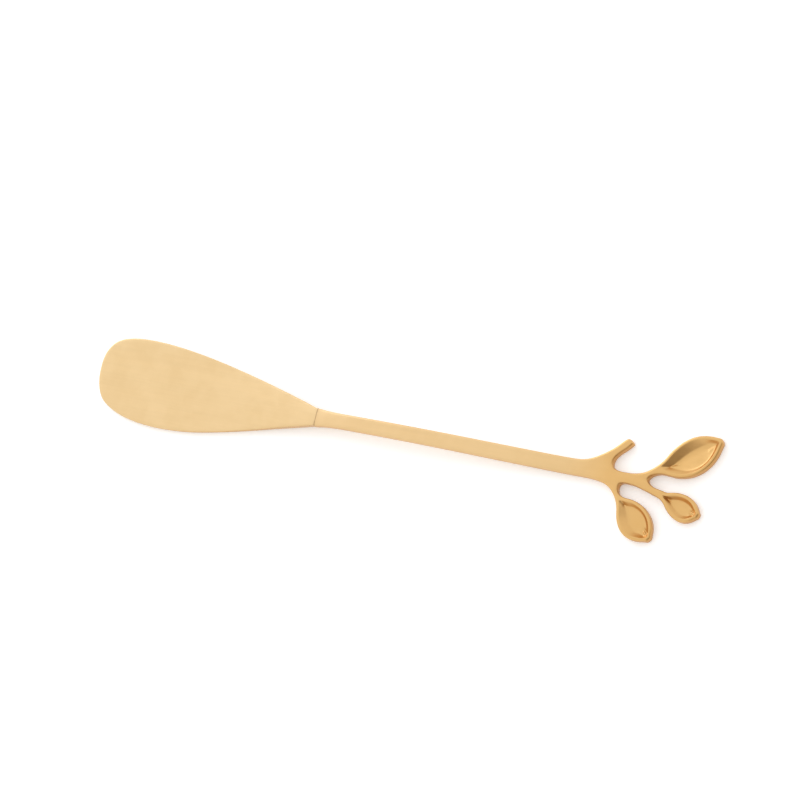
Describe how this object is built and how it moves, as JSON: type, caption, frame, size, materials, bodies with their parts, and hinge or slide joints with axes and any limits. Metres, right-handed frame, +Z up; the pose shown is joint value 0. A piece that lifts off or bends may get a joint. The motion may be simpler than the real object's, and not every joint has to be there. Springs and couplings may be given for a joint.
{
  "type": "leaf-handled spreader spoon",
  "caption": "Slim gold-toned spreader spoon: thin off-centre paddle blade, arched flat handle and a forked twig end with a cut stub and dished leaves.",
  "frame": {"origin": "bottom centre of the bounding box: on the surface it lies on, halfway along its length, on the handle's centre line", "axes": "+X along the handle towards the leaves, +Y towards the stub and the large leaf, +Z up from the surface it lies on"},
  "size_m": [0.15, 0.0256, 0.0042],
  "materials": {
    "blade_steel": "satin gold coating over stainless sheet, fine lengthwise grain",
    "braze_metal": "satin gold coating over braze metal",
    "handle_steel": "satin gold coating over cast stainless, slightly rough in the leaf dishes"
  },
  "bodies": {
    "root": {"blade": "blade_steel", "tang_braze": "braze_metal", "branch_handle": "handle_steel"}
  },
  "joints": []
}
